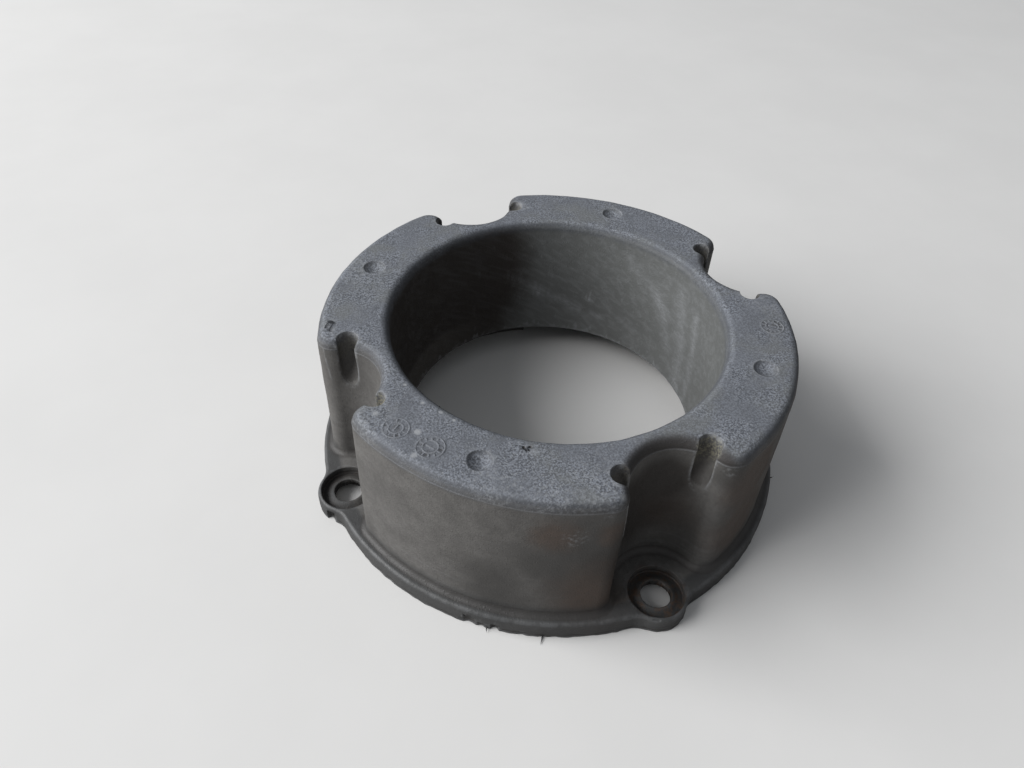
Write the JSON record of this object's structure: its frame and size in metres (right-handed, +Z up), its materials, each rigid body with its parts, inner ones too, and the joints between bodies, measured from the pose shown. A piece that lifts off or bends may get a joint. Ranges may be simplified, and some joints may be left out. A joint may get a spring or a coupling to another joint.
{
  "type": "flanged rubber collar",
  "caption": "Moulded rubber collar: a tall ring with a tapered bore and sealing lip, a thin base flange with bolt lugs, and a round driver pocket down its side over each lug.",
  "frame": {"origin": "centre of the flange's flat underside, on the bore's axis", "axes": "+Z up along the bore's axis, from the flange to the top face; +X through one bolt lug"},
  "size_m": [0.1342, 0.1342, 0.0463],
  "materials": {
    "rubber": "worn matte"
  },
  "bodies": {
    "root": {"rubber_collar": "rubber"}
  },
  "joints": []
}
